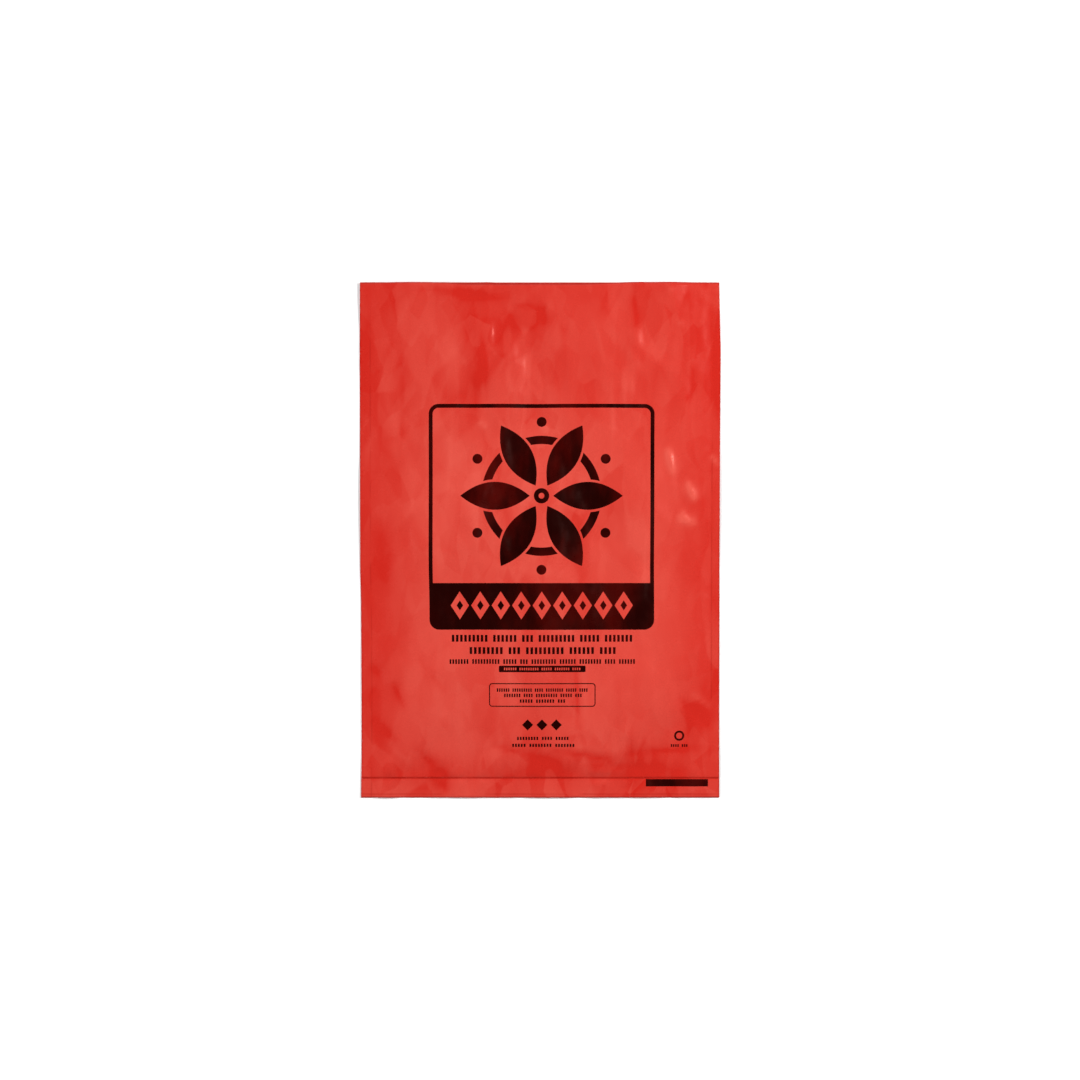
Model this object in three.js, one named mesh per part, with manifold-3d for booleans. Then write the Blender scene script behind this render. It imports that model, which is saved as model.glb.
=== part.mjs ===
// An empty waste bag of thin red film, lying flat on its back panel.
// It is one piece: a blown film tube, pressed flat at its two side folds, fused across by one
// heat seal near its foot, and open at its mouth. Below the seal the tube runs on as a short
// loose skirt that is open at the foot. A little air is left between the two panels.
// Millimetres. +Z is up, the mouth is towards +Y, and the printed front panel faces up.
import * as THREE from "three";
import { mergeVertices } from "three/addons/utils/BufferGeometryUtils.js";
import Module from "manifold-3d";

// The film tube
const BAG_WIDTH = 400; // across the side folds, lying flat
const POCKET_DEPTH = 550; // from the mouth down to the seal
const FILM = 0.05; // one wall, a 200 gauge film
const PULL_IN = 1.2; // how far the seal draws each side fold in
const PULL_REACH = 350; // how far up the pocket that is felt
const MOUTH_DIP = 2.5; // how far the front panel's edge hangs back in the middle of the mouth
const DIP_REACH = 50; // how far down the front panel that is felt

// The heat seal, and the skirt that is left below it
const FUSED_WIDTH = 1; // where the two panels are one thickness
const SEAL_EDGE = 0.5; // over which they part, at each edge of that line
const SKIRT_DEPTH = 21;
const SKIRT_GAP = 1.2; // air between the skirt's panels at the foot

// The air between the panels of the pocket
const CROWN_GAP = 10; // in the middle of the bag
const MOUTH_GAP = 8.5; // in the middle of the mouth
const FOLD_GAP = 0.3; // where the panels lie on each other, along the folds and at the seal
const FOLD_BAND = 10; // width of the band along each fold where they lie so
const SIDE_RISE = 110; // from that band to where the front panel levels out
const FOOT_RISE = 120; // the same from the seal
const MOUTH_FALL = 150; // over which the crown comes down to the mouth

// Long soft waves of the front panel, each with its pitch across and along the bag
const WAVES = [
  { height: 0.8, across: 119, along: -745, start: 0.6 },
  { height: 0.9, across: 143, along: 310, start: 2.1 },
  { height: 0.7, across: -205, along: 190, start: 4.4 },
  { height: 0.6, across: 97, along: 460, start: 1.2 },
];

// Waves of the front panel's edge at the mouth, and how far down the panel they are felt
const LIP_WAVES = [
  { height: 1.5, across: 140, along: Infinity, start: 1 },
  { height: 1.1, across: 83, along: Infinity, start: 2.4 },
];
const LIP_REACH = 90;

// The front panel's crumpling: flat facets with folds between them
const CRUMPLE_HEIGHT = 4.4;
const CRUMPLE_WIDTH = 62;
const CRUMPLE_LENGTH = 118;
const CRUMPLE_LEAN = 0.18;
const HILLS = 1; // the scatter that the hills follow
const DALES = 2; // and the dales

// How closely the panels are divided, for the longest side of a facet
const FACET = 17;

const sealWidth = FUSED_WIDTH + 2 * SEAL_EDGE;
const mouthY = (POCKET_DEPTH + sealWidth + SKIRT_DEPTH) / 2;
const sealTopY = mouthY - POCKET_DEPTH;
const sealFootY = sealTopY - sealWidth;
const footY = sealFootY - SKIRT_DEPTH;
const foldX = BAG_WIDTH / 2;
const bandX = foldX - FOLD_BAND;
const { lerp, clamp, smoothstep } = THREE.MathUtils;

// 0 at the start of a rise and 1 at its end, steep at first and level at last, as a film pillow is.
function rise(distance, run) {
  const share = clamp(distance / run, 0, 1);
  return 1 - (1 - share) ** 2;
}

// The crown's height above the fold gap, halfway across the bag.
function crownAt(y) {
  return lerp(CROWN_GAP, MOUTH_GAP, smoothstep(y, mouthY - MOUTH_FALL, mouthY)) - FOLD_GAP;
}

// The height of all waves of a list at a point of the bag.
function waved(waves, x, y) {
  const heights = waves.map(
    ({ height, across, along, start }) =>
      height * Math.sin(2 * Math.PI * (x / across + y / along) + start),
  );
  return heights.reduce((sum, height) => sum + height, 0);
}

// A number from 0 to 1 that looks random and is always the same for a cell and a scatter.
function scattered(column, row, scatter) {
  const spread = Math.sin(12.9898 * column + 78.233 * row + 37.719 * scatter) * 43758.5453;
  return spread - Math.floor(spread);
}

// The squared distance, in cells, to the nearest of a scatter of points, one to each cell.
function nearestPoint(u, v, scatter) {
  let nearest = Infinity;
  for (let column = Math.floor(u) - 1; column <= Math.floor(u) + 1; column++)
    for (let row = Math.floor(v) - 1; row <= Math.floor(v) + 1; row++) {
      const across = u - column - scattered(column, row, scatter);
      const along = v - row - scattered(column, row, scatter + 0.5);
      nearest = Math.min(nearest, across ** 2 + along ** 2);
    }
  return nearest;
}

// The crumpling's height. The difference of two squared distances is flat wherever both nearest
// points stay the same, and it folds where one of them changes.
function crumpled(x, y) {
  const u = x / CRUMPLE_WIDTH;
  const v = (y + CRUMPLE_LEAN * x) / CRUMPLE_LENGTH;
  return CRUMPLE_HEIGHT * (nearestPoint(u, v, DALES) - nearestPoint(u, v, HILLS));
}

// The air between the panels of the pocket at a point of the bag.
function pocketGap(x, y) {
  const lift = rise(bandX - Math.abs(x), SIDE_RISE) * rise(y - sealTopY, FOOT_RISE);
  const lip = smoothstep(y, mouthY - LIP_REACH, mouthY);
  const uneven = waved(WAVES, x, y) + lip * waved(LIP_WAVES, x, y);
  const crumple = crumpled(x, y) * lerp(1, 0.5, lip);
  return FOLD_GAP + Math.max(0, lift * (crownAt(y) + uneven + crumple));
}

// The same in the skirt, which opens a little towards the foot.
function skirtGap(x, y) {
  const lift = rise(bandX - Math.abs(x), SIDE_RISE) * rise(sealFootY - y, SKIRT_DEPTH);
  return FOLD_GAP + lift * (SKIRT_GAP - FOLD_GAP);
}

// The air between the panels anywhere, none of it where the seal has fused them.
function gapAt(x, y) {
  if (y >= sealTopY) return pocketGap(x, y);
  if (y <= sealFootY) return skirtGap(x, y);
  return 0;
}

// Where a point of the flat tube comes to lie once the seal has drawn the side folds in.
function drawnIn(x, y) {
  const pull = PULL_IN * (1 - smoothstep(y, sealTopY, sealTopY + PULL_REACH));
  return x * (1 - pull / foldX);
}

// The same along the bag for the front panel, whose edge hangs back at the mouth.
function hungBack(x, y) {
  const across = 1 - (x / foldX) ** 2;
  return y - MOUTH_DIP * across * clamp(1 - (mouthY - y) / DIP_REACH, 0, 1);
}

// Evenly spaced values from a to b, both included, no further apart than a facet.
function divided(a, b) {
  const steps = Math.max(1, Math.ceil(Math.abs(b - a) / FACET));
  return Array.from({ length: steps + 1 }, (_, i) => lerp(a, b, i / steps));
}

// The lines that divide the bag across, with one at the inner edge of each fold band.
function linesAcross() {
  return [-foldX, ...divided(-bandX, bandX), foldX];
}

// A closed solid over the grid of the x and y lines, between a lower and an upper sheet of points.
function slab(xLines, yLines, lowerPoint, upperPoint) {
  const columns = xLines.length;
  const rows = yLines.length;
  const layer = columns * rows;
  const positions = [];
  for (const pointAt of [lowerPoint, upperPoint])
    for (const y of yLines) for (const x of xLines) positions.push(...pointAt(x, y));
  const faces = [];
  const quad = (a, b, c, d) => faces.push(a, b, c, a, c, d);
  for (let j = 0; j + 1 < rows; j++)
    for (let i = 0; i + 1 < columns; i++) {
      const a = j * columns + i;
      const [b, c, d] = [a + 1, a + columns + 1, a + columns];
      quad(layer + a, layer + b, layer + c, layer + d);
      faces.push(a, c, b, a, d, c);
    }
  const wall = (a, b) => quad(a, b, layer + b, layer + a);
  for (let i = 0; i + 1 < columns; i++) {
    wall(i, i + 1);
    wall((rows - 1) * columns + i + 1, (rows - 1) * columns + i);
  }
  for (let j = 0; j + 1 < rows; j++) {
    wall((j + 1) * columns, j * columns);
    wall((j + 1) * columns - 1, (j + 2) * columns - 1);
  }
  const geometry = new THREE.BufferGeometry();
  geometry.setAttribute("position", new THREE.Float32BufferAttribute(positions, 3));
  geometry.setIndex(faces);
  return geometry;
}

const wasm = await Module();
wasm.setup();

function toSolid(geometry) {
  const merged = mergeVertices(geometry);
  return new wasm.Manifold(
    new wasm.Mesh({
      numProp: 3,
      vertProperties: merged.attributes.position.array,
      triVerts: new Uint32Array(merged.index.array),
    }),
  );
}

function toGeometry(solid) {
  const mesh = solid.getMesh();
  const geometry = new THREE.BufferGeometry();
  geometry.setAttribute("position", new THREE.BufferAttribute(mesh.vertProperties, 3));
  geometry.setIndex(new THREE.BufferAttribute(mesh.triVerts, 1));
  geometry.computeVertexNormals();
  return geometry;
}

// The whole outside of the tube, as if it were full.
function tubeOutside() {
  const fused = [sealFootY + SEAL_EDGE, sealTopY - SEAL_EDGE];
  const lines = [...divided(footY, sealFootY), ...fused, ...divided(sealTopY, mouthY)];
  const lower = (x, y) => [drawnIn(x, y), y, 0];
  const upper = (x, y) => [drawnIn(x, y), hungBack(x, y), 2 * FILM + gapAt(x, y)];
  return toSolid(slab(linesAcross(), lines, lower, upper));
}

// The air in a stretch of the tube, one wall inside its outside and on the same lines. It runs on
// past the end at openY, so that cutting it away leaves that end open.
function tubeInside(closedY, openY, gap) {
  const beyondY = openY + Math.sign(openY) * SKIRT_DEPTH;
  const lines = [...divided(closedY, openY), beyondY].sort((a, b) => a - b);
  const inTube = (y) => clamp(y, footY, mouthY);
  const inFolds = (x, y) => drawnIn(clamp(x, FILM - foldX, foldX - FILM), y);
  const lower = (x, y) => [inFolds(x, y), y, FILM];
  const upper = (x, y) => [inFolds(x, y), hungBack(x, y), FILM + gap(x, inTube(y))];
  return toSolid(slab(linesAcross(), lines, lower, upper));
}

function filmBag() {
  const pocket = tubeInside(sealTopY, mouthY, pocketGap);
  const skirt = tubeInside(sealFootY, footY, skirtGap);
  return toGeometry(tubeOutside().subtract(pocket).subtract(skirt));
}

const redFilm = new THREE.MeshStandardMaterial({ color: 0xdf4237, roughness: 0.35, metalness: 0 });
const bag = new THREE.Mesh(filmBag(), redFilm);
bag.name = "bag_film";

const wasteBag = new THREE.Group();
wasteBag.add(bag);

export default wasteBag;
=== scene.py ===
import math

import bmesh
import bpy
import numpy as np
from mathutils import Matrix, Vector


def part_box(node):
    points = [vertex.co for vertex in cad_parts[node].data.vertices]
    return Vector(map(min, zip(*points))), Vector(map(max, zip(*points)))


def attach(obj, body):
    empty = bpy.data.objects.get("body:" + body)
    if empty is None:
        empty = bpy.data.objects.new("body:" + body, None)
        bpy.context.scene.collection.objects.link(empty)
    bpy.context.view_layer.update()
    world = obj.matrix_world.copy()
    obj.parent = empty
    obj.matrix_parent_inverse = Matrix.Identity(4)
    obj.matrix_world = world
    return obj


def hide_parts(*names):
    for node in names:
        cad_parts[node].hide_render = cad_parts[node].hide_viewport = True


# An empty red film bag, lying flat on a pale floor and seen from straight above.
# Metres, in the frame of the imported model: +Z up, +Y towards the mouth, the printed panel upwards.
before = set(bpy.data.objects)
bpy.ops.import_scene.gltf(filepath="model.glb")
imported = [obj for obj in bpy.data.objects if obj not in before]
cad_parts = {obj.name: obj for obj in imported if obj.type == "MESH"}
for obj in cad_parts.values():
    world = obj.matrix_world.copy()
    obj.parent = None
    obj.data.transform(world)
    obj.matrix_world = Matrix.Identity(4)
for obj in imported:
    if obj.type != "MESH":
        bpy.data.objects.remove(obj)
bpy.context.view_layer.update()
CAD_LOW, CAD_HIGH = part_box("bag_film")

MM = 0.001

# The bag as it was cut, taken from the frame, in millimetres
WIDTH = (CAD_HIGH.x - CAD_LOW.x) / MM
LENGTH = (CAD_HIGH.y - CAD_LOW.y) / MM
HALF = WIDTH / 2
MOUTH_Y = CAD_HIGH.y / MM
FOOT_Y = CAD_LOW.y / MM
FILM = 0.05
SKIRT = 21
SEAL = 2
SEAL_FOOT_Y = FOOT_Y + SKIRT
SEAL_TOP_Y = SEAL_FOOT_Y + SEAL

# The air between the panels, in millimetres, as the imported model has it
CROWN_GAP = 10
MOUTH_GAP = 8.5
FOLD_GAP = 0.3
FOLD_BAND = 10
SIDE_RISE = 110
FOOT_RISE = 120
MOUTH_FALL = 150
SKIRT_GAP = 1.2
SKIRT_LEAST_GAP = 0.15

# Its long soft waves: height, pitch across and along the bag, and start
WAVES = [(0.8, 119, -745, 0.6), (0.9, 143, 310, 2.1), (0.7, -205, 190, 4.4), (0.6, 97, 460, 1.2)]
LIP_WAVES = [(1.5, 140, math.inf, 1), (1.1, 83, math.inf, 2.4)]
LIP_REACH = 90

# Its crumpling: flat facets with folds between them
CRUMPLE_HEIGHT = 4.4
CRUMPLE_SIZE = (62, 118)
CRUMPLE_LEAN = 0.18
HILLS, DALES = 1, 2

# How the film is divided. The back panel has every second column of the front panel.
COLUMNS = 186
POCKET_ROWS = 132
SKIRT_ROWS = 9
FOLD_COLUMN = 0.6
SEAL_EDGE = 0.4
ROWS_ABOVE_SEAL = (0, 1.5, 3.5, 6)
FIRST_POCKET_ROW = 9

# Where the two side folds lie along the bag, as the air draws them in
SIDE_STATIONS = (-286, -265, -245, -178, -66, -33, 100, 211, 286)
LEFT_LINE = (-199.0, -198.9, -198.5, -198.4, -199.1, -200.0, -200.2, -200.5, -200.2)
RIGHT_LINE = (199.3, 199.3, 199.2, 199.3, 199.6, 199.6, 200.2, 201.1, 199.3)

# How far the front panel's edge hangs back at the mouth: everywhere, and more between two soft steps
HANG = 0.35
HANG_MORE = 2.2
HANG_STARTS = (-125, -70)
HANG_ENDS = (40, 105)
HANG_REACH = 60

# The slow unevenness of the skirt's gap, as a share of it and in millimetres for one radian
FLUTTER = 0.5
FLUTTER_RADIAN = 17

# The ridges that the serrated sealing bar leaves
RIB_PITCH = 1.7
RIB_WIDTH = 0.9
RIB_HEIGHT = 0.22
RIB_MIDDLE_Z = 0.125
RIBS_STOP_SHORT = 4
RIB_LEAST, RIB_MOST = 0.55, 1.1

# The camera and the photograph's frame
PHOTO_PIXELS = 1080
BAG_PIXELS = 360.5
LENS = 85
SENSOR = 36


def smooth(value, start, end):
    """0 before start and 1 after end, with a soft step between them."""
    t = np.clip((value - start) / (end - start), 0, 1)
    return t * t * (3 - 2 * t)


def rise(distance, run):
    """0 at the start of a rise and 1 at its end, steep at first and level at last."""
    t = np.clip(distance / run, 0, 1)
    return 1 - (1 - t) ** 2


# Creases

# How many slow waves are added up, and what their sum is divided by
SLOW_WAVES = 5
SLOW_WAVES_SUM = 2.2

# How strong the crumpling is: in the middle, and how much more towards the sides, the mouth and the seal,
# with the distances from the bag's middle over which that sets in
LEAST_LIVELY = 0.75
MORE_LIVELY = 0.32
SIDE_LIVELY = 0.4
SIDE_STARTS = (100, 165)
HEAD_STARTS = (70, 170)
FOOT_STARTS = (180, 240)

# It also comes and goes in patches: the least share, how much more, and the waves that say where
PATCHY = (0.7, 0.5)
PATCHY_WAVES = (0.022, 0.014)

# The short puckers at the seal: how far they lean, and how wide they are
PUCKER_LEAN = 0.35
PUCKER_WIDTH = (2.5, 5.5)


def crease_relief(x, y, creases):
    """The height of straight creases. Each has a sharp crest, falls off to both sides and fades at its
    ends. A crease is given by its two ends, the width over which it falls off, and its height."""
    relief = np.zeros_like(x)
    for x0, y0, x1, y1, width, height in creases:
        length = math.hypot(x1 - x0, y1 - y0)
        along_x, along_y = (x1 - x0) / length, (y1 - y0) / length
        along = ((x - x0) * along_x + (y - y0) * along_y) / length
        off = np.abs((x - x0) * along_y - (y - y0) * along_x)
        fade = np.clip(4 * along * (1 - along), 0, None)
        relief += height * fade * np.exp(-off / width)
    return relief


def scattered(column, row, scatter):
    """A number from 0 to 1 that looks random and is always the same for a cell and a scatter."""
    spread = np.sin(12.9898 * column + 78.233 * row + 37.719 * scatter) * 43758.5453
    return spread - np.floor(spread)


def nearest_point(u, v, scatter):
    """The squared distance, in cells, to the nearest of a scatter of points, one to each cell, and a
    random number of that cell's own."""
    nearest = np.full_like(u, np.inf)
    number = np.zeros_like(u)
    for step_u in (-1, 0, 1):
        for step_v in (-1, 0, 1):
            column, row = np.floor(u) + step_u, np.floor(v) + step_v
            across = u - column - scattered(column, row, scatter)
            along = v - row - scattered(column, row, scatter + 0.5)
            squared = across**2 + along**2
            number = np.where(squared < nearest, scattered(column, row, scatter + 0.25), number)
            nearest = np.minimum(nearest, squared)
    return nearest, number


def crumpled(x, y, height, size, lean, hills, dales):
    """The crumpling's height. The difference of two squared distances is flat wherever both nearest
    points stay the same, and it folds where one of them changes."""
    u, v = x / size[0], (y + lean * x) / size[1]
    return height * (nearest_point(u, v, dales)[0] - nearest_point(u, v, hills)[0])


def waved(waves, x, y):
    """The height of all waves of a list."""
    turn = 2 * math.pi
    return sum(
        height * np.sin(turn * (x / across + y / along) + start) for height, across, along, start in waves
    )


def slow_waves(x, y, seed, across, along):
    """Slow irregular waves of about 1 in height. Their steepest phase per millimetre is given for across
    and for along the bag."""
    rng = np.random.default_rng(seed)
    total = np.zeros_like(x)
    for _ in range(SLOW_WAVES):
        step_x, step_y = rng.uniform(-across, across), rng.uniform(-along, along)
        total += np.sin(step_x * x + step_y * y + rng.uniform(0, 2 * math.pi))
    return total / SLOW_WAVES_SUM


def liveliness(x, y, seed):
    """How strong the crumpling is from place to place: least in the middle, most at the mouth and over the
    seal."""
    side = SIDE_LIVELY * smooth(np.abs(x), *SIDE_STARTS)
    head, foot = smooth(y, *HEAD_STARTS), smooth(-y, *FOOT_STARTS)
    strong = LEAST_LIVELY + MORE_LIVELY * np.maximum(np.maximum(side, head), foot)
    low, more = PATCHY
    return strong * (low + more * smooth(slow_waves(x, y, seed, *PATCHY_WAVES), -1.1, 1))


def stray_creases(seed, count, lean, length, width, height):
    """Creases at random places that mostly run up the bag, as a pack of flat bags gives them."""
    rng = np.random.default_rng(seed)
    found = []
    for _ in range(count):
        x0 = rng.uniform(-HALF, HALF)
        y0 = rng.uniform(FOOT_Y, MOUTH_Y)
        angle = math.pi / 2 + rng.normal(0, lean)
        reach = rng.uniform(*length) / 2
        step_x, step_y = reach * math.cos(angle), reach * math.sin(angle)
        tall = rng.uniform(*height) * rng.choice((-1, 1))
        found.append((x0 - step_x, y0 - step_y, x0 + step_x, y0 + step_y, rng.uniform(*width), tall))
    return found


def edge_puckers(seed, y, reach, pitch, height):
    """Short creases that run away from a seal, unevenly spaced across the bag."""
    rng = np.random.default_rng(seed)
    found = []
    x = -HALF + pitch
    while x < HALF - pitch:
        lean = rng.uniform(-PUCKER_LEAN, PUCKER_LEAN)
        far = reach * rng.uniform(0.5, 1.3)
        tall = height * rng.uniform(0.4, 1) * rng.choice((-1, 1))
        found.append((x - far * lean, y - far, x + far * lean, y + far, rng.uniform(*PUCKER_WIDTH), tall))
        x += pitch * rng.uniform(0.6, 1.5)
    return found


# The creases that stand out, one by one: at the mouth and over the print
NAMED_CREASES = [
    (-160, 281, -60, 278, 4, -0.7),
    (-118, 274, -30, 271, 5, -0.9),
    (-34, 262, 8, 258, 5, -0.8),
    (4, 262, 6, 236, 5, -0.8),
    (-30, 256, -52, 212, 5, -0.7),
    (-66, 238, -58, 148, 5, -1.0),
    (-96, 228, -90, 158, 13, 0.45),
    (104, 276, 108, 232, 4, -0.9),
    (140, 284, 148, 274, 2.6, 0.8),
    (150, 246, 160, 236, 2.6, 0.9),
    (186, 240, 184, 208, 4, -0.8),
    (170, 196, 165, 150, 4, -0.6),
    (79, 182, 80, 104, 2.6, 0.8),
    (92, 190, 93, 140, 2.6, 0.6),
    (101, 184, 101, 150, 2.4, 0.5),
    # Beside the print and across it
    (139, 104, 149, 70, 4, 2.4),
    (143, 106, 146, 84, 2.2, 0.8),
    (162, 64, 174, 42, 5, 2.8),
    (158, 66, 168, 62, 2.4, 0.9),
    (150, 26, 176, 18, 5, 2.6),
    (156, 34, 164, 20, 2.4, 0.9),
    (188, 96, 200, 82, 3.5, 1.5),
    (0, 128, 10, 120, 3.5, 1.7),
    (-70, 132, -58, 124, 3.5, 1.4),
    (-44, 2, -34, -6, 3.5, 0.7),
    (-60, -28, 40, -40, 7, 0.5),
    (-96, 160, -104, 20, 8, 0.6),
    (24, 100, 18, -60, 8, 0.5),
    (120, 60, 112, -120, 8, 0.6),
    (-150, 210, -156, 60, 7, -0.6),
    (-40, -90, -30, -200, 8, 0.6),
    (38, -108, 43, -222, 3.5, -0.9),
    (46, -112, 52, -214, 5, 0.5),
    # Towards the foot and across the seal
    (-192, -138, -176, -152, 5, -0.8),
    (-166, -156, -150, -190, 6, -0.9),
    (-192, -196, -158, -226, 6, -0.9),
    (-128, -140, -104, -172, 6, -0.7),
    (150, -172, 196, -212, 5, -1.0),
    (166, -168, 192, -188, 5, 0.9),
    (-136, -236, -116, -252, 5, -0.9),
    (-112, -252, -104, -284, 7, -1.1),
    (-60, -226, -6, -240, 4, -0.7),
    (-14, -238, 24, -252, 8, -0.9),
    (8, -232, 90, -246, 5, -0.9),
    (10, -224, 96, -238, 3.5, 0.5),
    (84, -238, 196, -230, 5, -0.8),
    (40, -251, 150, -254, 4, -0.6),
]

# The old side folds of the roll, a little way in from each edge
OLD_FOLDS = [
    (-188.5, -520, -188.5, 540, 1.6, -0.32),
    (191, -260, 191.5, 260, 1.6, -0.3),
]

# Long soft creases and short sharp ones
STRAY_CREASES = [
    *stray_creases(seed=11, count=40, lean=0.22, length=(90, 260), width=(7, 14), height=(0.3, 0.8)),
    *stray_creases(seed=23, count=190, lean=0.6, length=(18, 80), width=(2.2, 4.2), height=(0.2, 0.5)),
]
BACK_CREASES = stray_creases(
    seed=47, count=40, lean=0.3, length=(80, 260), width=(7, 15), height=(0.3, 0.9)
)
FRONT_PUCKERS = edge_puckers(seed=31, y=SEAL_TOP_Y, reach=26, pitch=15, height=0.8)
BACK_PUCKERS = edge_puckers(seed=61, y=SEAL_TOP_Y, reach=22, pitch=16, height=0.6)

# The crumpling: its height, the size of its cells, its lean, and the scatters of its hills and its dales
MAIN_CRUMPLE = (CRUMPLE_HEIGHT, CRUMPLE_SIZE, CRUMPLE_LEAN, HILLS, DALES)
FRONT_SMALL_CRUMPLE = (1.15, (25, 46), 0.3, 3, 4)
BACK_CRUMPLE = (3.6, (54, 96), -0.2, 5, 6)
BACK_SMALL_CRUMPLE = (1.3, (24, 40), -0.3, 7, 8)
FRONT_LIVELY_SEED, BACK_LIVELY_SEED = 5, 9


def front_creases(x, y):
    """The front panel's finer relief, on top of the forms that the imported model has."""
    lively = liveliness(x, y, FRONT_LIVELY_SEED)
    return (
        crease_relief(x, y, NAMED_CREASES)
        + crease_relief(x, y, OLD_FOLDS)
        + lively * crease_relief(x, y, STRAY_CREASES)
        + lively * crumpled(x, y, *FRONT_SMALL_CRUMPLE)
        + crease_relief(x, y, FRONT_PUCKERS)
    )


def back_creases(x, y):
    """The back panel's relief."""
    lively = liveliness(x, y, BACK_LIVELY_SEED)
    return (
        lively * crease_relief(x, y, BACK_CREASES)
        + lively * crumpled(x, y, *BACK_CRUMPLE)
        + lively * crumpled(x, y, *BACK_SMALL_CRUMPLE)
        + crease_relief(x, y, BACK_PUCKERS)
    )


# The film's tone


# Broad patches of painted light and shade on the front panel, each with its middle, half width and half
# height. First how much milkier each is painted, then how much more uneven.
PAINTED_LIGHT_PATCHES = [
    (-4, -12, 112, 36, 0.13),
    (-58, 62, 36, 46, 0.09),
    (78, 112, 60, 46, -0.07),
    (-91, 196, 24, 46, 0.14),
    (-15, 244, 36, 15, -0.14),
    (-140, 262, 46, 14, -0.06),
    (112, 214, 40, 46, 0.05),
    (-172, -10, 16, 44, -0.08),
    (152, -66, 34, 52, 0.08),
    (-150, -140, 30, 40, 0.04),
    (120, -150, 60, 62, 0.07),
    (-112, -262, 13, 24, -0.18),
    (26, -252, 24, 12, -0.07),
    (164, 40, 26, 90, 0.07),
]
UNEVEN_PATCHES = [
    (0, 25, 130, 96, 0.7),
    (112, -150, 84, 76, -0.6),
    (-176, -60, 44, 190, -0.35),
]


# The film's tone, from 0, deep red, to 1, milky: at the least, then how much milkier it is where the panels
# are apart and away from the side folds and the seal, in the skirt, along the hem of the mouth and in the
# middle of the bag. Near the folds and the seal the deeper red is partly painted shade on the margins that
# slope down.
TONE_LEAST = 0.15
TONE_APART = 0.4
TONE_SKIRT = 0.16
TONE_HEM = -0.06
TONE_MIDDLE = 0.12
HEAD_CLOSES = (110, 200)
HEM = (262, 274)
MIDDLE_Y = -20
MIDDLE_REACH = (120, 130)

# How much of "apart" is the gap, and how much the distance from a side fold or from the seal, which paints
# shade on the sloping margins
GAP_SHARE, RIM_SHADE_SHARE = 0.33, 0.67
GAP_TONE = (0.2, 0.75 * CROWN_GAP)
RIM_SHADE_TONE = (2, 85)
SEAL_TONE_STEEPER = 2.4

# Its mottling in broad and in narrow cells: their size, lean and strength
BROAD_CELLS, BROAD_LEAN, BROAD_TONE = (40, 85), 0.3, 0.14
NARROW_CELLS, NARROW_LEAN, NARROW_TONE = (19, 44), -0.2, 0.12
FRONT_SCATTER, BACK_SCATTER = 9, 11

# Painted highlight and shade along the creases: how much milkier a crease is painted for each millimetre of
# its height, milkier along a raised crease and deeper along a sunken one, and how much narrower the named
# creases are painted. Then the back panel's tone beside the front panel's
NAMED_CREASE_PAINTED_LIGHT, PAINTED_CREASE_NARROWING = 0.5, 0.75
STRAY_CREASE_PAINTED_LIGHT = 0.3
BACK_SHARE = 0.8


def patched(x, y, patches):
    """The sum of soft patches at each point."""
    total = np.zeros_like(x)
    for middle_x, middle_y, half_width, half_height, amount in patches:
        off = np.hypot((x - middle_x) / half_width, (y - middle_y) / half_height)
        total += amount * (1 - smooth(off, 0.3, 1.25))
    return total


def cell_number(x, y, size, lean, scatter):
    """A random number for each cell of a leaning pattern, from -0.5 to 0.5."""
    _, number = nearest_point(x / size[0], (y + lean * x) / size[1], scatter)
    return number - 0.5


def film_tone_with_painted_light(x, y, gap, lively, scatter):
    """How milky the film looks. It is deepest where the panels lie on each other, and near the side folds
    and the seal, partly as painted shade on the sloping margins.
    """
    broad = cell_number(x, y, BROAD_CELLS, BROAD_LEAN, scatter)
    narrow = cell_number(x, y, NARROW_CELLS, NARROW_LEAN, scatter + 1)
    # Painted shade: deeper towards the side folds and the seal, where the film slopes down
    from_rim = np.minimum(HALF - np.abs(x), SEAL_TONE_STEEPER * np.abs(y - SEAL_TOP_Y))
    apart = GAP_SHARE * smooth(gap, *GAP_TONE) + RIM_SHADE_SHARE * smooth(from_rim, *RIM_SHADE_TONE)
    head = smooth(y, *HEAD_CLOSES)
    skirt = 1 - smooth(y, SEAL_FOOT_Y - SEAL, SEAL_FOOT_Y)
    middle = 1 - smooth(np.hypot(x / MIDDLE_REACH[0], (y - MIDDLE_Y) / MIDDLE_REACH[1]), 0.5, 1.3)
    milky = TONE_LEAST + TONE_APART * apart * (1 - 0.5 * head)
    milky = milky + TONE_SKIRT * skirt + TONE_HEM * smooth(y, *HEM) + TONE_MIDDLE * middle
    return milky + lively * (BROAD_TONE * broad + NARROW_TONE * narrow)


def painted_crease_light_and_patches(x, y, lively):
    """Painted highlight and shade along the front panel's creases, milkier where a crease stands up and
    deeper where it sinks, and the painted light and shade of its broad patches.
    """
    # Painted highlight and shade: the tone follows each crease's height
    sharper = [(*crease[:4], PAINTED_CREASE_NARROWING * crease[4], crease[5]) for crease in NAMED_CREASES]
    marks = NAMED_CREASE_PAINTED_LIGHT * crease_relief(x, y, sharper)
    marks = marks + STRAY_CREASE_PAINTED_LIGHT * lively * crease_relief(x, y, STRAY_CREASES)
    return marks + patched(x, y, PAINTED_LIGHT_PATCHES)


# The shape of the panels


# The finer relief, as a share near the side folds and further in, and over what distance it sets in
FOLD_RELIEF = 0.2
RELIEF_RISE = 55

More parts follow.
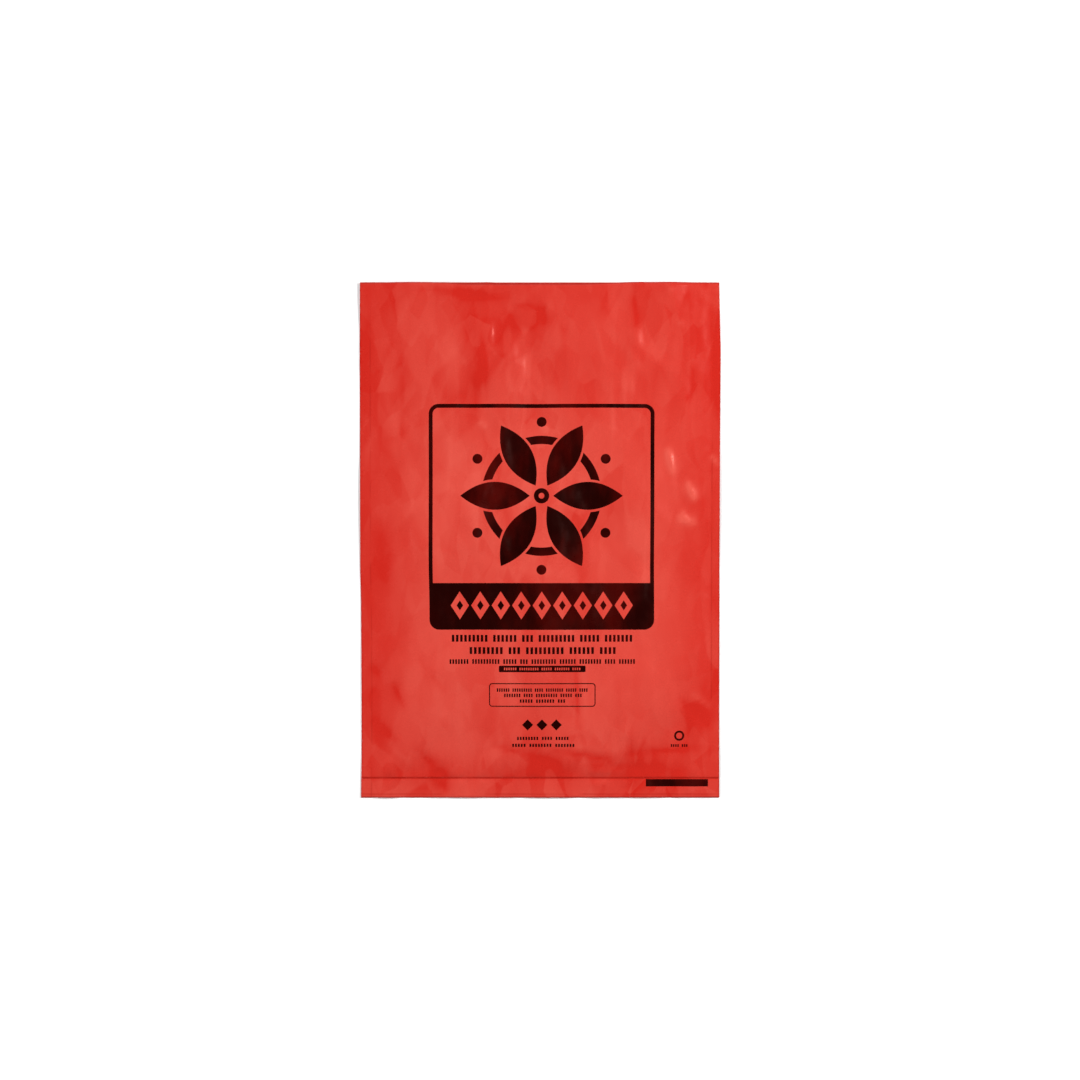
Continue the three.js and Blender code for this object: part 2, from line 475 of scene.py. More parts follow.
# How the back panel lifts off the floor: towards the mouth and along the sides, with the waves' seeds and
# their steepest phases, and the crease height that the floor takes away
MOUTH_LIFT, MOUTH_LIFT_SEED, MOUTH_LIFT_WAVES = 1.1, 43, (0.05, 0.03)
MOUTH_LIFT_REACH, MOUTH_LIFT_REST = 80, 0.25
SIDE_LIFT, SIDE_LIFT_SEED, SIDE_LIFT_WAVES = 0.8, 53, (0.004, 0.05)
SIDE_LIFT_REACH = 60
FLOOR_TAKES = 0.25

# The least air between the panels where they lie close, and elsewhere
CLOSE_GAP = 0.6
LEAST_AIR_CLOSE, LEAST_AIR = 0.12, 0.3


def side_lines(y):
    """The left and right side folds at each height."""
    return np.interp(y, SIDE_STATIONS, LEFT_LINE), np.interp(y, SIDE_STATIONS, RIGHT_LINE)


def mouth_edge(x):
    """How far the front panel's edge hangs back behind the back panel's."""
    return HANG + HANG_MORE * smooth(x, *HANG_STARTS) * (1 - smooth(x, *HANG_ENDS))


def air(x, y):
    """The gap between the panels before they are creased."""
    fall = smooth(y, MOUTH_Y - MOUTH_FALL, MOUTH_Y)
    crown = CROWN_GAP + (MOUTH_GAP - CROWN_GAP) * fall - FOLD_GAP
    from_side = HALF - FOLD_BAND - np.abs(x)
    lip = smooth(y, MOUTH_Y - LIP_REACH, MOUTH_Y)
    uneven = waved(WAVES, x, y) + lip * waved(LIP_WAVES, x, y)
    uneven = uneven + crumpled(x, y, *MAIN_CRUMPLE) * (1 - 0.5 * lip)
    lift = rise(from_side, SIDE_RISE) * rise(y - SEAL_TOP_Y, FOOT_RISE)
    pocket = FOLD_GAP + np.maximum(0, lift * (crown + uneven))
    flutter = 1 + FLUTTER * np.sin(x / FLUTTER_RADIAN + 1)
    loose = rise(from_side, SIDE_RISE) * rise(SEAL_FOOT_Y - y, SKIRT)
    skirt = SKIRT_LEAST_GAP + loose * (SKIRT_GAP * flutter - SKIRT_LEAST_GAP)
    fused = (y < SEAL_TOP_Y) & (y > SEAL_FOOT_Y)
    return np.where(y >= SEAL_TOP_Y, pocket, np.where(fused, 0.0, skirt))


def panel_grid():
    """The columns across and the rows along the flat bag, in millimetres."""
    inner = np.linspace(-HALF + FOLD_COLUMN, HALF - FOLD_COLUMN, COLUMNS - 1)
    across = np.concatenate(([-HALF], inner, [HALF]))
    skirt = np.linspace(FOOT_Y, SEAL_FOOT_Y, SKIRT_ROWS)
    fused = (SEAL_FOOT_Y + SEAL_EDGE, SEAL_TOP_Y - SEAL_EDGE)
    near = SEAL_TOP_Y + np.array(ROWS_ABOVE_SEAL)
    pocket = np.linspace(SEAL_TOP_Y + FIRST_POCKET_ROW, MOUTH_Y, POCKET_ROWS)
    along = np.concatenate((skirt, fused, near, pocket))
    return across, along


def straightened(height, x):
    """The height with every second column on the straight line between its neighbours."""
    share = (x[:, 1:-1:2] - x[:, :-2:2]) / (x[:, 2::2] - x[:, :-2:2])
    even = height.copy()
    even[:, 1:-1:2] = height[:, :-2:2] + (height[:, 2::2] - height[:, :-2:2]) * share
    return even


def panel_heights(x, y):
    """The outer surfaces of the back and front panels over the flat grid, and the air between them before
    they are creased."""
    edge = HALF - np.abs(x)
    from_seal = np.abs(y - (SEAL_TOP_Y + SEAL_FOOT_Y) / 2)
    fused = (y < SEAL_TOP_Y) & (y > SEAL_FOOT_Y)
    free = FOLD_RELIEF + (1 - FOLD_RELIEF) * rise(edge - FOLD_BAND, RELIEF_RISE)
    at_mouth = np.clip(slow_waves(x, y, MOUTH_LIFT_SEED, *MOUTH_LIFT_WAVES), 0, None)
    lifted = MOUTH_LIFT * at_mouth * (smooth(y, MOUTH_Y - MOUTH_LIFT_REACH, MOUTH_Y) + MOUTH_LIFT_REST)
    at_sides = np.clip(slow_waves(x, y, SIDE_LIFT_SEED, *SIDE_LIFT_WAVES), 0, None)
    lifted = lifted + SIDE_LIFT * at_sides * (1 - smooth(edge, 0, SIDE_LIFT_REACH))
    back = lifted + np.clip(back_creases(x, y) - FLOOR_TAKES, 0, None) * free * smooth(from_seal, 1, 7)
    back = straightened(back, x)
    gap = air(x, y)
    creases = front_creases(x, y) * free * smooth(from_seal, 0.8, 5)
    least = np.where(gap < CLOSE_GAP, LEAST_AIR_CLOSE, LEAST_AIR)
    opened = np.where(fused, 0, np.maximum(gap + creases, least))
    front = back + 2 * FILM + opened
    return back, front, gap


def film_tube():
    """The film as one closed wall: its outside all round, its inside above and below the seal."""
    across, along = panel_grid()
    x, y = np.meshgrid(across, along)
    back, front, gap = panel_heights(x, y)
    left, right = side_lines(y)
    share = (x + HALF) / WIDTH
    placed_x = left + (right - left) * share
    hang = mouth_edge(x) * smooth(y, MOUTH_Y - HANG_REACH, MOUTH_Y)
    rows, columns = x.shape
    lively = liveliness(x, y, FRONT_LIVELY_SEED) * (1 + patched(x, y, UNEVEN_PATCHES))
    # The front panel's tone carries painted highlight and shade along its creases and in its patches, and
    # painted shade at its margins
    front_tone_with_painted_light = film_tone_with_painted_light(x, y, gap, lively, FRONT_SCATTER) + painted_crease_light_and_patches(x, y, lively)
    back_tone_with_painted_shade = BACK_SHARE * film_tone_with_painted_light(x, y, gap, lively, BACK_SCATTER)

    def sheet(height, wall, hangs):
        """One surface, moved into the film by wall along its own normal."""
        points = np.stack((placed_x, y - hangs, height), axis=2)
        down_rows = np.gradient(points, axis=0)
        across_columns = np.gradient(points, axis=1)
        normal = np.cross(across_columns, down_rows)
        normal /= np.linalg.norm(normal, axis=2, keepdims=True)
        return points + normal * wall

    inset = np.clip(placed_x, left + FILM, right - FILM)
    outer_front = sheet(front, 0, hang)
    outer_back = sheet(back, 0, 0)
    inner_front = sheet(front, -FILM, hang)
    inner_back = sheet(back, FILM, 0)
    inmost, outmost = inset.min(axis=1, keepdims=True), inset.max(axis=1, keepdims=True)
    for inner in (inner_front, inner_back):
        inner[:, :, 0] = np.clip(inner[:, :, 0], inmost, outmost)

    points = []
    flat = []
    tones_with_painted_light = []
    crumpling = []
    faces = []

    def loop_rows(front_points, back_points, first, last):
        """Adds the rows from first to last as rings round the tube, and gives the ring's vertex numbers."""
        ring = []
        for r in range(first, last + 1):
            start = len(points)
            points.extend(front_points[r])
            points.extend(back_points[r, ::-2])
            along_share = (y[r, 0] - FOOT_Y) / LENGTH
            flat.extend((s / 2, along_share) for s in share[r])
            flat.extend((1 - s / 2, along_share) for s in share[r, ::-2])
            tones_with_painted_light.extend(front_tone_with_painted_light[r])
            tones_with_painted_light.extend(back_tone_with_painted_shade[r, ::-2])
            crumpling.extend(lively[r])
            crumpling.extend(lively[r, ::-2])
            ring.append(range(start, len(points)))
        return ring

    def close_round(lower, upper):
        """The faces between two rings of the same length."""
        count = len(lower)
        for i in range(count):
            k = (i + 1) % count
            faces.append((lower[i], lower[k], upper[k]))
            faces.append((lower[i], upper[k], upper[i]))

    def close_end(ring):
        """The narrow wall that joins the front and back halves of a ring."""
        for i in range(0, columns - 1, 2):
            k = len(ring) - 1 - i // 2
            faces.append((ring[i], ring[i + 1], ring[i + 2], ring[k - 1], ring[k]))

    seal_foot_row = SKIRT_ROWS - 1
    seal_top_row = SKIRT_ROWS + 2
    outside = loop_rows(outer_front, outer_back, 0, rows - 1)
    pocket = loop_rows(inner_front, inner_back, seal_top_row, rows - 1)
    skirt = loop_rows(inner_front, inner_back, 0, seal_foot_row)
    for ring in (outside, pocket, skirt):
        for lower, upper in zip(ring, ring[1:]):
            close_round(lower, upper)
    close_round(outside[-1], pocket[-1])
    close_round(outside[0], skirt[0])
    close_end(pocket[0])
    close_end(skirt[-1])

    mesh = bpy.data.meshes.new("bag_film_shell")
    mesh.from_pydata([tuple(p * MM for p in point) for point in points], [], faces)
    uv = mesh.uv_layers.new(name="flat_film")
    corner = np.zeros(len(mesh.loops), np.int32)
    mesh.loops.foreach_get("vertex_index", corner)
    uv.data.foreach_set("uv", np.array(flat, np.float32)[corner].ravel())
    for name, values in (("film_tone_with_painted_light", tones_with_painted_light), ("crumpling", crumpling)):
        attribute = mesh.attributes.new(name, "FLOAT", "POINT")
        attribute.data.foreach_set("value", np.array(values, np.float32))
    return mesh


def seal_ribs(material):
    """The ridges that the serrated sealing bar leaves, one after another along the seal."""
    tree = bpy.data.node_groups.new("seal_ribs", "GeometryNodeTree")
    sockets = {}
    for name in ("Length", "Pitch", "Width", "Height"):
        socket = tree.interface.new_socket(name, in_out="INPUT", socket_type="NodeSocketFloat")
        sockets[name] = socket.identifier
    tree.interface.new_socket("Geometry", in_out="OUTPUT", socket_type="NodeSocketGeometry")
    sums = Sums(tree)
    given = sums.node("NodeGroupInput").outputs
    line = sums.node("GeometryNodeMeshLine", mode="OFFSET")
    sums.put(line.inputs["Count"], sums.sum("DIVIDE", given["Length"], given["Pitch"]))
    start = sums.node("ShaderNodeCombineXYZ")
    sums.put(start.inputs["X"], sums.sum("MULTIPLY", given["Length"], -0.5))
    start.inputs["Y"].default_value = (SEAL_FOOT_Y + SEAL_TOP_Y) / 2 * MM
    start.inputs["Z"].default_value = RIB_MIDDLE_Z * MM
    sums.put(line.inputs["Start Location"], start.outputs[0])
    step = sums.node("ShaderNodeCombineXYZ")
    sums.put(step.inputs["X"], given["Pitch"])
    sums.put(line.inputs["Offset"], step.outputs[0])
    bead = sums.node("GeometryNodeMeshUVSphere")
    bead.inputs["Segments"].default_value = 6
    bead.inputs["Rings"].default_value = 4
    bead.inputs["Radius"].default_value = 0.5
    size = sums.node("ShaderNodeCombineXYZ")
    sums.put(size.inputs["X"], given["Width"])
    size.inputs["Y"].default_value = SEAL * MM
    sums.put(size.inputs["Z"], given["Height"])
    uneven = sums.node("FunctionNodeRandomValue", data_type="FLOAT")
    uneven.inputs["Min"].default_value = RIB_LEAST
    uneven.inputs["Max"].default_value = RIB_MOST
    uneven.inputs["Seed"].default_value = 3
    scale = sums.node("ShaderNodeVectorMath", operation="SCALE")
    sums.put(scale.inputs[0], size.outputs[0])
    sums.put(scale.inputs["Scale"], uneven.outputs[1])
    ribs = sums.node("GeometryNodeInstanceOnPoints")
    sums.put(ribs.inputs["Points"], line.outputs["Mesh"])
    sums.put(ribs.inputs["Instance"], bead.outputs["Mesh"])
    sums.put(ribs.inputs["Scale"], scale.outputs[0])
    real = sums.node("GeometryNodeRealizeInstances")
    sums.put(real.inputs[0], ribs.outputs[0])
    coat = sums.node("GeometryNodeSetMaterial")
    coat.inputs["Material"].default_value = material
    sums.put(coat.inputs["Geometry"], real.outputs[0])
    sums.put(sums.node("NodeGroupOutput").inputs["Geometry"], coat.outputs["Geometry"])

    maker = bpy.data.objects.new("seal_ribs", bpy.data.meshes.new("seal_ribs"))
    bpy.context.scene.collection.objects.link(maker)
    modifier = maker.modifiers.new("ribs", "NODES")
    modifier.node_group = tree
    ribs_length = WIDTH - RIBS_STOP_SHORT
    for name, value in zip(sockets, (ribs_length, RIB_PITCH, RIB_WIDTH, RIB_HEIGHT)):
        modifier[sockets[name]] = value * MM
    graph = bpy.context.evaluated_depsgraph_get()
    mesh = bpy.data.meshes.new_from_object(maker.evaluated_get(graph))
    bpy.data.objects.remove(maker)
    return mesh


def joined(piece, *others):
    """The piece with the other meshes made part of it."""
    extra = []
    for mesh in others:
        part = bpy.data.objects.new("part", mesh)
        bpy.context.scene.collection.objects.link(part)
        extra.append(part)
    bpy.context.view_layer.update()
    chosen = [piece, *extra]
    with bpy.context.temp_override(
        active_object=piece, object=piece, selected_objects=chosen, selected_editable_objects=chosen
    ):
        bpy.ops.object.join()
    return piece


def finished(name, mesh, material):
    """A piece in the scene, with its faces turned out and smooth."""
    work = bmesh.new()
    work.from_mesh(mesh)
    bmesh.ops.recalc_face_normals(work, faces=work.faces)
    work.to_mesh(mesh)
    work.free()
    mesh.polygons.foreach_set("use_smooth", [True] * len(mesh.polygons))
    mesh.materials.append(material)
    piece = bpy.data.objects.new(name, mesh)
    bpy.context.scene.collection.objects.link(piece)
    return piece


# Materials


class Sums:
    """Writes a material's sums: each call adds one node and gives back its output."""

    def __init__(self, tree):
        self.tree = tree

    def node(self, kind, **settings):
        made = self.tree.nodes.new(kind)
        for name, value in settings.items():
            setattr(made, name, value)
        return made

    def put(self, socket, value):
        if isinstance(value, bpy.types.NodeSocket):
            self.tree.links.new(value, socket)
        else:
            socket.default_value = value

    def sum(self, operation, *values, clamp=False):
        made = self.node("ShaderNodeMath", operation=operation, use_clamp=clamp)
        for socket, value in zip(made.inputs, values):
            self.put(socket, value)
        return made.outputs[0]

    def add(self, *values):
        total = values[0]
        for value in values[1:]:
            total = self.sum("ADD", total, value)
        return total

    def most(self, *values):
        total = values[0]
        for value in values[1:]:
            total = self.sum("MAXIMUM", total, value)
        return total

    def within(self, value, middle, reach):
        """1 where value is no further than reach from the middle."""
        return self.sum("COMPARE", value, middle, reach)

    def under(self, distance, blur=0.3):
        """1 where a distance in millimetres is under 0, with a soft edge."""
        return self.sum("MULTIPLY_ADD", distance, -1 / blur, 0.5, clamp=True)

    def folded(self, value, pitch, start=0.0):
        """The value as measured from the middle of the repeat that it is in."""
        turns = self.sum("MULTIPLY_ADD", value, 1 / pitch, -start / pitch)
        part = self.sum("SUBTRACT", self.sum("FRACT", turns), 0.5)
        return self.sum("MULTIPLY", part, pitch)

    def rounded_box(self, x, y, low, high, radius):
        """The distance in millimetres from the edge of a box with rounded corners, less than 0 inside."""
        from_middle = []
        for value, a, b in ((x, low[0], high[0]), (y, low[1], high[1])):
            off = self.sum("ABSOLUTE", self.sum("SUBTRACT", value, (a + b) / 2))
            from_middle.append(self.sum("SUBTRACT", off, (b - a) / 2 - radius))
        outside = [self.sum("MAXIMUM", off, 0) for off in from_middle]
        squares = self.add(*(self.sum("MULTIPLY", off, off) for off in outside))
        inside = self.sum("MINIMUM", self.most(*from_middle), 0)
        return self.sum("SUBTRACT", self.add(self.sum("SQRT", squares), inside), radius)

    def length(self, x, y):
        """How far a point is from the middle."""
        squares = self.add(self.sum("MULTIPLY", x, x), self.sum("MULTIPLY", y, y))
        return self.sum("SQRT", squares)

    def line(self, distance, half_line, blur=0.3):
        """1 on a line, given the distance in millimetres from its middle."""
        return self.under(self.sum("SUBTRACT", self.sum("ABSOLUTE", distance), half_line), blur)

    def between(self, share, low, high):
        mix = self.node("ShaderNodeMix", data_type="RGBA", clamp_factor=True)
        self.put(mix.inputs[0], share)
        self.put(mix.inputs[6], low)
        self.put(mix.inputs[7], high)
        return mix.outputs[2]

    def noise(self, where, scale, detail=2.0, rough=0.5, output="Fac"):
        made = self.node("ShaderNodeTexNoise")
        made.inputs["Scale"].default_value = scale
        made.inputs["Detail"].default_value = detail
        made.inputs["Roughness"].default_value = rough
        self.put(made.inputs["Vector"], where)
        return made.outputs[output]

    def cells(self, where, soft):
        """A number of its own for each cell of a crumpled pattern, with soft borders between the cells."""
        made = self.node("ShaderNodeTexVoronoi", feature="SMOOTH_F1")
        made.inputs["Scale"].default_value = 1
        self.put(made.inputs["Smoothness"], soft)
        self.put(made.inputs["Vector"], where)
        parts = self.node("ShaderNodeSeparateColor")
        self.put(parts.inputs[0], made.outputs["Color"])
        return parts.outputs["Red"]

    def stretched(self, where, scale):
        made = self.node("ShaderNodeMapping")
        made.inputs["Scale"].default_value = scale
        self.put(made.inputs["Vector"], where)
        return made.outputs["Vector"]

    def ranged(self, value, low, high, to_low=0.0, to_high=1.0):
        made = self.node("ShaderNodeMapRange", interpolation_type="SMOOTHSTEP")
        names = ("From Min", "From Max", "To Min", "To Max")
        for name, number in zip(names, (low, high, to_low, to_high)):
            made.inputs[name].default_value = number
        self.put(made.inputs["Value"], value)
        return made.outputs["Result"]


# The print, in millimetres from the middle of the front panel
PRINT_X = 1.75
FRAME_LOW = (-123.3, -99.5)
FRAME_HIGH = (126.8, 150.9)
FRAME_LINE = 4.4
FRAME_CORNER = 11
BAND_TOP = -47.7
LOZENGE_ROW_Y = -72.5
LOZENGE_PITCH = 22.8
LOZENGES = 9
ROSETTE_Y = 49
PETALS = 6
PETAL_START, PETAL_END, PETAL_HALF_WIDTH = 13, 90, 15.5
RING_RADIUS, RING_HALF_LINE, RING_CLEAR = 62, 4.6, 2.6
HUB_RADIUS, HUB_HOLE = 8.5, 3.2
DOT_ORBIT, DOT_RADIUS = 82, 5.5
LOZENGE_HALF = (10.2, 15.5)
LOZENGE_EDGE, LOZENGE_HOLE = 8.5, 0.36

# The small filled bar with a row of dashes left clear in it, and the outlined box
SMALL_BAR = ((-46.2, -146.5), (50.4, -139.3))
SMALL_BAR_CORNER = 1.2
SMALL_BAR_ROW = (-142.9, 2.8, -41, 45, (6, 9, 5, 7, 4))
BOX = ((-57.3, -185.0), (61.5, -158.7))
BOX_CORNER, BOX_HALF_LINE = 3.7, 0.55

# The small lozenges, the small ring and the filled bar in the skirt
SMALL_LOZENGES = 3
SMALL_LOZENGE_Y, SMALL_LOZENGE_PITCH = -205.2, 16
SMALL_LOZENGE_HALF = (6.2, 6.2)
SMALL_LOZENGE_EDGE = 4
RING_X, RING_Y = 155.2, -217.5
SMALL_RING_RADIUS, SMALL_RING_HALF_LINE = 4.6, 1.1
END_BAR = ((118.0, -274.0), (187.4, -265.9))
END_BAR_CORNER = 0.3

# Rows of plain dashes: middle height, dash height, left and right ends, and the dashes' lengths in ticks
DASH_ROWS = [
    (-109.0, 7.6, -99.4, 103.2, (9, 6, 3, 9, 5, 7)),
    (-122.6, 7.6, -79.7, 84.8, (8, 3, 9, 6, 4)),
    (-134.7, 5.2, -101.6, 105.9, (7, 10, 5, 3, 9, 6, 8, 4, 6)),
    (-166.4, 3.8, -49.0, 53.0, (6, 9, 4, 8, 5, 4)),
    (-172.3, 3.8, -41.0, 46.5, (7, 4, 9, 5, 3)),
    (-178.6, 3.8, -23.5, 28.0, (5, 7, 3)),
    (-220.2, 3.6, -26.5, 32.0, (8, 4, 5)),
    (-228.0, 3.6, -32.0, 38.5, (5, 8, 7)),
    (-228.5, 3.0, 145.5, 165.0, (4, 3)),
]
TICK_SHARE = 0.6
DASH_CLEAR = 0.01


def rosette(sums, x, y):
    """A flower of pointed petals on a broken ring, round a small hub, with a dot beyond each gap."""
    from_x = sums.sum("SUBTRACT", x, PRINT_X)
    from_y = sums.sum("SUBTRACT", y, ROSETTE_Y)
    radius = sums.length(from_x, from_y)
    angle = sums.sum("ARCTAN2", from_y, from_x)
    step = 2 * math.pi / PETALS
    turn = sums.folded(angle, step, step / 2)
    along = sums.sum("MULTIPLY", radius, sums.sum("COSINE", turn))
    aside = sums.sum("ABSOLUTE", sums.sum("MULTIPLY", radius, sums.sum("SINE", turn)))
    middle = (PETAL_START + PETAL_END) / 2
    share = sums.sum("MULTIPLY_ADD", along, 1 / (PETAL_END - middle), -middle / (PETAL_END - middle))
    squared = sums.sum("MULTIPLY", share, share)
    bulge = sums.sum("MULTIPLY_ADD", squared, -PETAL_HALF_WIDTH, PETAL_HALF_WIDTH)
    from_petal = sums.sum("SUBTRACT", aside, bulge)
    petals = sums.under(from_petal)
    off_ring = sums.sum("ABSOLUTE", sums.sum("SUBTRACT", radius, RING_RADIUS))
    from_ring = sums.sum("SUBTRACT", off_ring, RING_HALF_LINE)
    clear_of_petal = sums.sum("SUBTRACT", RING_CLEAR, from_petal)
    ring = sums.under(sums.most(from_ring, clear_of_petal))
    beyond_hub = sums.sum("SUBTRACT", radius, HUB_RADIUS)
    hub = sums.under(sums.most(beyond_hub, sums.sum("SUBTRACT", HUB_HOLE, radius)))
    gap_turn = sums.folded(angle, step, 0)
    dot_along = sums.sum("SUBTRACT", sums.sum("MULTIPLY", radius, sums.sum("COSINE", gap_turn)), DOT_ORBIT)
    dot_aside = sums.sum("MULTIPLY", radius, sums.sum("SINE", gap_turn))
    dots = sums.under(sums.sum("SUBTRACT", sums.length(dot_along, dot_aside), DOT_RADIUS))
    return sums.most(petals, ring, hub, dots)


def lozenge_reach(sums, x, y, pitch, count, middle_y, half):
    """0 in the middle of each lozenge of a row and 1 along its edge, and a mask of the row's length."""
    half_row = count * pitch / 2
    off_x = sums.sum("ABSOLUTE", sums.folded(x, pitch, PRINT_X - half_row))
    off_y = sums.sum("ABSOLUTE", sums.sum("SUBTRACT", y, middle_y))
    reach = sums.add(sums.sum("MULTIPLY", off_x, 1 / half[0]), sums.sum("MULTIPLY", off_y, 1 / half[1]))
    return reach, sums.within(x, PRINT_X, half_row)


def lozenges(sums, x, y):
    """A row of hollow lozenges, left clear in the band."""
    reach, row = lozenge_reach(sums, x, y, LOZENGE_PITCH, LOZENGES, LOZENGE_ROW_Y, LOZENGE_HALF)
    outer = sums.under(sums.sum("MULTIPLY_ADD", reach, LOZENGE_EDGE, -LOZENGE_EDGE))
    inner = sums.under(sums.sum("MULTIPLY_ADD", reach, LOZENGE_EDGE, -LOZENGE_EDGE * LOZENGE_HOLE))
    return sums.sum("MULTIPLY", sums.sum("SUBTRACT", outer, inner), row)


def small_lozenges(sums, x, y):
    """A short row of filled lozenges."""
    reach, row = lozenge_reach(
        sums, x, y, SMALL_LOZENGE_PITCH, SMALL_LOZENGES, SMALL_LOZENGE_Y, SMALL_LOZENGE_HALF
    )
    filled = sums.under(sums.sum("MULTIPLY_ADD", reach, SMALL_LOZENGE_EDGE, -SMALL_LOZENGE_EDGE))
    return sums.sum("MULTIPLY", filled, row)


def dash_row(sums, x, y, middle, height, left, right, lengths):
    """One row of plain dashes, each cut into short upright ticks, with a tick's space between dashes."""
    pitch = (right - left) / (sum(lengths) + len(lengths) - 1)
    ticks = sums.within(sums.folded(x, pitch, left), 0, pitch * TICK_SHARE / 2)
    dashes = []
    start = left
    for length in lengths:
        dashes.append(sums.within(x, start + length * pitch / 2, length * pitch / 2 - DASH_CLEAR))
        start += (length + 1) * pitch
    row = sums.within(y, middle, height / 2)
    return sums.sum("MULTIPLY", sums.sum("MULTIPLY", sums.add(*dashes), ticks), row)


def ink_mask(sums, x, y):
    """1 where the front panel is printed."""
    outer = sums.rounded_box(x, y, FRAME_LOW, FRAME_HIGH, FRAME_CORNER)
    frame_line = sums.line(sums.sum("ADD", outer, FRAME_LINE / 2), FRAME_LINE / 2)
    band = sums.sum("MULTIPLY", sums.under(outer), sums.under(sums.sum("SUBTRACT", y, BAND_TOP)))
    band = sums.sum("SUBTRACT", band, lozenges(sums, x, y), clamp=True)
    small_bar = sums.under(sums.rounded_box(x, y, *SMALL_BAR, SMALL_BAR_CORNER))
    small_bar = sums.sum("SUBTRACT", small_bar, dash_row(sums, x, y, *SMALL_BAR_ROW), clamp=True)
    box = sums.rounded_box(x, y, *BOX, BOX_CORNER)
    box_line = sums.line(sums.sum("ADD", box, BOX_HALF_LINE), BOX_HALF_LINE)
    from_ring = sums.length(sums.sum("SUBTRACT", x, RING_X), sums.sum("SUBTRACT", y, RING_Y))
    small_ring = sums.line(sums.sum("SUBTRACT", from_ring, SMALL_RING_RADIUS), SMALL_RING_HALF_LINE)
    end_bar = sums.under(sums.rounded_box(x, y, *END_BAR, END_BAR_CORNER))
    flower, trio = rosette(sums, x, y), small_lozenges(sums, x, y)
    rows = [dash_row(sums, x, y, *row) for row in DASH_ROWS]
    return sums.most(frame_line, band, flower, small_bar, box_line, trio, small_ring, end_bar, *rows)


# The film's and the ink's colours. The film is mixed between its milky and its deep red by a tone that also
# carries painted highlight and shade.
FILM_MILKY_AND_LIT = (0.64, 0.078, 0.055, 1)
FILM_DEEP_AND_SHADED = (0.52, 0.018, 0.011, 1)
SEAL_AND_FOLD_SHADE_RED = (0.34, 0.009, 0.005, 1)
INK = (0.011, 0.0004, 0.0002, 1)
# The ink's painted sheen, a lighter maroon
INK_SHEEN = (0.07, 0.0016, 0.0009, 1)

# The darker lines: the seal, the cut edges, painted shade in the old side folds of the roll, and a faint
# line in the skirt
SEAL_HALF_LINE = 1.0
EDGE_WIDTH, EDGE_BLUR = 1.1, 1.0
LEFT_FOLD_X, RIGHT_FOLD_X = -188.5, 191.2
FOLD_HALF_LINE, FOLD_BLUR = 0.5, 1.2
RIGHT_FOLD_MIDDLE, RIGHT_FOLD_REACH = -28, 152
FOOT_LINE_RISE, FOOT_LINE_HALF = 4, 0.6
SEAL_DARK, SEAL_DARK_MORE, EDGE_DARK, FOLD_DARK = 0.55, 0.35, 0.6, 0.5
UNEVEN_LINES = (30, 0.35, 0.6)

# The film's mottling: streaks, patches and two sizes of cells, in repeats per metre, and how strong each is
STREAKS = (24, 7, 7)
PATCHES = 9
NOISE_TONE = 0.18
BROAD, BROAD_SHARE = (24, 12, 12), 0.3
SMALL, SMALL_SHARE, SMALL_MORE_IN_SKIRT = (58, 33, 33), 0.24, 0.12
BEND, BEND_REACH = 14, 0.03
SOFT_EDGES, SOFT_FROM, SOFT_TO = 17, (0.36, 0.68), (0.01, 0.35)

# Painted sheen on the ink, as lighter maroon smears: smears per metre, where they start, and their share
# above the band and in it
SMEARS, SMEARS_FROM = (16, 7, 7), (0.40, 0.72)
SHEEN_ABOVE = 0.95
SHEEN_STARTS, SHEEN_IN_BAND = (-112, -92), (0.15, 0.65)

# The film's gloss and its finest crumpling
HAZE, HAZE_FROM, ROUGHNESS = 60, (0.3, 0.7), (0.22, 0.30)
INK_ROUGHER = 0.02
FINE_CRUMPLE, FINE_STRENGTH, FINE_DEPTH = (130, 40, 40), 0.4, 0.0003
FILM_IOR = 1.5
GLOSS_LEVEL, GLOSS_TINT = 0.4, (1, 0.45, 0.38, 1)


def fold_lines(sums, x, y, where):
    """How much darker the film is along its seal and its edges, with painted shade in the roll's old side
    folds.
    """
    seal = sums.within(y, (SEAL_FOOT_Y + SEAL_TOP_Y) / 2, SEAL_HALF_LINE)
    from_side = sums.sum("SUBTRACT", HALF, sums.sum("ABSOLUTE", x))
    from_end = sums.sum("SUBTRACT", LENGTH / 2, sums.sum("ABSOLUTE", y))
    from_edge = sums.sum("MINIMUM", from_side, from_end)
    edges = sums.under(sums.sum("SUBTRACT", from_edge, EDGE_WIDTH), EDGE_BLUR)
    scale, low, high = UNEVEN_LINES
    uneven = sums.ranged(sums.noise(where, scale), low, high)
    left_fold, right_fold = (
        sums.line(sums.sum("SUBTRACT", x, fold_x), FOLD_HALF_LINE, FOLD_BLUR)
        for fold_x in (LEFT_FOLD_X, RIGHT_FOLD_X)
    )
    right_fold = sums.sum("MULTIPLY", right_fold, sums.within(y, RIGHT_FOLD_MIDDLE, RIGHT_FOLD_REACH))
    foot_line = sums.within(y, FOOT_Y + FOOT_LINE_RISE, FOOT_LINE_HALF)
    # Painted shade in the old side folds, and the faint line in the skirt
    faint = sums.sum("MULTIPLY", sums.most(left_fold, right_fold, foot_line), uneven)
    return sums.most(
        sums.sum("MULTIPLY", seal, sums.sum("MULTIPLY_ADD", uneven, SEAL_DARK_MORE, SEAL_DARK)),
        sums.sum("MULTIPLY", edges, EDGE_DARK),
        sums.sum("MULTIPLY", faint, FOLD_DARK),
    )


